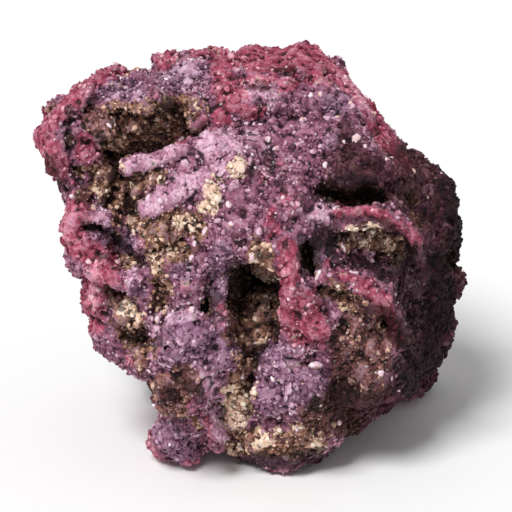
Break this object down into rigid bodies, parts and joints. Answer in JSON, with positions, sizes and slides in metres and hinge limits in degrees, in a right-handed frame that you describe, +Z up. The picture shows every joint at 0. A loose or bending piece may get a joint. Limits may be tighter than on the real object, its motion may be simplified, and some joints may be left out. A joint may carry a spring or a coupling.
{
  "type": "dry reef rock",
  "caption": "Rounded lump of dry reef rock with knobs, caves, pits and ledges, crusted pink and lilac, standing on small flat feet.",
  "frame": {"origin": "on the ground, below the middle of the rock's own box", "axes": "+Z up, the face with the large cave and the ledge towards -Y, +X to the right as that face is seen"},
  "size_m": [0.168, 0.15, 0.157],
  "materials": {
    "reef_rock": "rough and matt, crusted in dusty lilac and pink, with tan and brown hollows"
  },
  "bodies": {
    "root": {"reef_rock": "reef_rock"}
  },
  "joints": []
}
